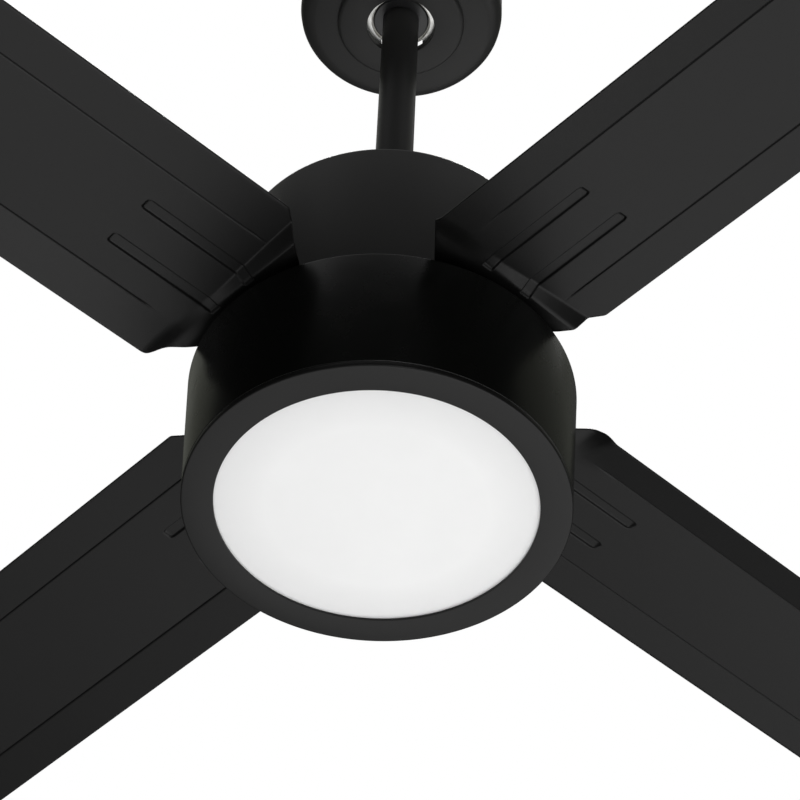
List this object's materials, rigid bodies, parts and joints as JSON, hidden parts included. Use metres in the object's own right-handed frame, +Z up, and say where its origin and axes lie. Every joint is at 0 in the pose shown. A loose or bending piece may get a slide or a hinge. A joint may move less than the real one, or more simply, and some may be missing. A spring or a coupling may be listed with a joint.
{
  "type": "ceiling fan with light",
  "caption": "Black ceiling fan on a downrod: drum motor housing, folded sheet-metal blades, and a drum light with a round opal diffuser in a twist-off trim ring.",
  "frame": {"origin": "middle of the hanger bracket's top face, on the ceiling", "axes": "+Z up out of the ceiling face, the fan hangs towards -Z; +X along the line of the two outlet-box slots; blades at 45 degrees to X and Y at rest"},
  "size_m": [0.9524, 0.9524, 0.57],
  "materials": {
    "black_powder": "matte black powder coat",
    "blade_black": "aluminium sheet, matte black powder coat",
    "drum_black": "satin black paint",
    "ring_black": "matte black powder coat",
    "hub_black": "black e-coat",
    "black_screw": "black zinc",
    "zinc_steel": "zinc plated",
    "green_screw": "green dyed zinc",
    "receiver_plastic": "moulded black plastic",
    "nylon": "natural nylon",
    "ball_nylon": "moulded black nylon",
    "cast_zinc": "cast, machined top",
    "spring_steel": "bright spring steel",
    "machined_steel": "turned steel",
    "lamination_steel": "stacked laminations",
    "copper_winding": "enamelled copper wire",
    "cast_aluminium": "die cast",
    "bearing_steel": "ground steel",
    "tray_white": "white enamel",
    "board_white": "white solder mask",
    "led_yellow": "phosphor",
    "driver_plastic": "moulded white plastic",
    "connector_plastic": "white nylon",
    "wire_insulation": "PVC insulation",
    "opal_acrylic": "opal acrylic, satin"
  },
  "bodies": {
    "ceiling_mount": {"hanger_bracket": "zinc_steel", "ground_screw": "green_screw", "receiver": "receiver_plastic", "canopy": "black_powder", "canopy_screws": "black_screw", "canopy_cover_ring": "black_powder"},
    "ball_seat": {"ball_liner": "nylon"},
    "hanging_frame": {"downrod": "black_powder", "hanger_ball": "ball_nylon", "ball_pin": "zinc_steel", "ball_set_screw": "zinc_steel", "yoke": "cast_zinc", "clevis_pin": "zinc_steel", "hairpin_clip": "spring_steel", "yoke_set_screws": "zinc_steel", "coupling_cover": "black_powder", "motor_housing": "black_powder", "housing_screws": "black_screw", "motor_shaft": "machined_steel", "stator_core": "lamination_steel", "stator_windings": "copper_winding", "bearing_inner_races": "bearing_steel", "light_mounting_plate": "zinc_steel", "shaft_nut": "zinc_steel", "light_housing": "drum_black", "light_housing_screws": "zinc_steel", "led_tray": "tray_white", "standoffs": "zinc_steel", "led_board": "board_white", "tray_screws": "zinc_steel", "led_chips": "led_yellow", "led_driver": "driver_plastic", "wire_connector": "connector_plastic", "lead_wires": "wire_insulation", "bayonet_shelves": "zinc_steel"},
    "rotor": {"rotor_ring": "lamination_steel", "rotor_lower_cover": "cast_aluminium", "rotor_upper_cover": "cast_aluminium", "bearing_outer_races": "bearing_steel", "bearing_balls": "bearing_steel", "blade_hub": "hub_black", "hub_screws": "zinc_steel", "blade_1": "blade_black", "blade_2": "blade_black", "blade_3": "blade_black", "blade_4": "blade_black", "blade_screws": "black_screw"},
    "lens_ring": {"trim_ring": "ring_black", "diffuser": "opal_acrylic", "diffuser_clips": "spring_steel"}
  },
  "joints": [
    {"name": "hanger_tilt_x", "type": "hinge", "parent": "ceiling_mount", "child": "ball_seat", "pos_m": [0, 0, -0.04], "axis": [1, 0, 0], "range_deg": [-10, 10]},
    {"name": "hanger_tilt_y", "type": "hinge", "parent": "ball_seat", "child": "hanging_frame", "pos_m": [0, 0, -0.04], "axis": [0, 1, 0], "range_deg": [-10, 10]},
    {"name": "fan_spin", "type": "hinge", "parent": "hanging_frame", "child": "rotor", "pos_m": [0, 0, -0.458], "axis": [0, 0, 1], "continuous": true},
    {"name": "lens_twist", "type": "hinge", "parent": "hanging_frame", "child": "lens_ring", "pos_m": [0, 0, -0.56], "axis": [0, 0, 1], "range_deg": [0, 20]}
  ]
}
